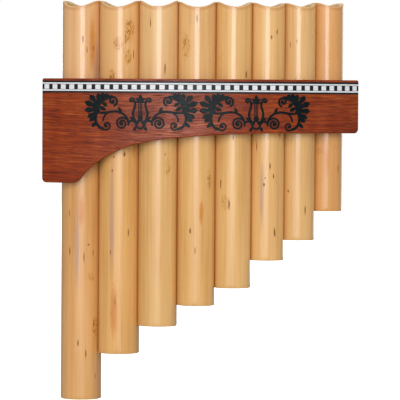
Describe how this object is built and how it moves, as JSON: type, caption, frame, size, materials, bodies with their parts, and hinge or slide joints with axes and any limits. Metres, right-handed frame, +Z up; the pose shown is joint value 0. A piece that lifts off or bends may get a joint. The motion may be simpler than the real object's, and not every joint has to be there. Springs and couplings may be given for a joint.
{
  "type": "pan flute",
  "caption": "Curved pan flute: graduated bamboo tubes with scalloped mouths and sliding tuning stoppers, glued behind a bent mahogany board with an inlaid strip and scroll ornaments.",
  "frame": {"origin": "centre of the underside of the bounding box, level with the lower end of the longest tube", "axes": "+Z up along the tubes to the blown mouths; -Y is the bulging front with the board; +X towards the short, high tubes"},
  "size_m": [0.1356, 0.0332, 0.1707],
  "materials": {
    "mahogany": "satin lacquer",
    "bamboo": "clear gloss lacquer",
    "cork": "matt",
    "strip_black": "satin lacquer",
    "strip_white": "satin lacquer",
    "ornament_black": "thin black transfer under lacquer"
  },
  "bodies": {
    "flute": {"front_board": "mahogany", "tube_1": "bamboo", "tube_2": "bamboo", "tube_3": "bamboo", "tube_4": "bamboo", "tube_5": "bamboo", "tube_6": "bamboo", "tube_7": "bamboo", "tube_8": "bamboo", "strip_black_upper": "strip_black", "strip_black_lower": "strip_black", "strip_white_ladder": "strip_white", "strip_dark_checks": "strip_black", "ornament_left": "ornament_black", "ornament_right": "ornament_black"},
    "stopper_1": {"stopper_1": "cork"},
    "stopper_2": {"stopper_2": "cork"},
    "stopper_3": {"stopper_3": "cork"},
    "stopper_4": {"stopper_4": "cork"},
    "stopper_5": {"stopper_5": "cork"},
    "stopper_6": {"stopper_6": "cork"},
    "stopper_7": {"stopper_7": "cork"},
    "stopper_8": {"stopper_8": "cork"}
  },
  "joints": [
    {"name": "stopper_1_slide", "type": "slide", "parent": "flute", "child": "stopper_1", "axis": [0, 0, 1], "range_m": [-0.002, 0.002]},
    {"name": "stopper_2_slide", "type": "slide", "parent": "flute", "child": "stopper_2", "axis": [0, 0, 1], "range_m": [-0.002, 0.002]},
    {"name": "stopper_3_slide", "type": "slide", "parent": "flute", "child": "stopper_3", "axis": [0, 0, 1], "range_m": [-0.002, 0.002]},
    {"name": "stopper_4_slide", "type": "slide", "parent": "flute", "child": "stopper_4", "axis": [0, 0, 1], "range_m": [-0.002, 0.002]},
    {"name": "stopper_5_slide", "type": "slide", "parent": "flute", "child": "stopper_5", "axis": [0, 0, 1], "range_m": [-0.002, 0.002]},
    {"name": "stopper_6_slide", "type": "slide", "parent": "flute", "child": "stopper_6", "axis": [0, 0, 1], "range_m": [-0.002, 0.002]},
    {"name": "stopper_7_slide", "type": "slide", "parent": "flute", "child": "stopper_7", "axis": [0, 0, 1], "range_m": [-0.002, 0.002]},
    {"name": "stopper_8_slide", "type": "slide", "parent": "flute", "child": "stopper_8", "axis": [0, 0, 1], "range_m": [-0.002, 0.002]}
  ]
}
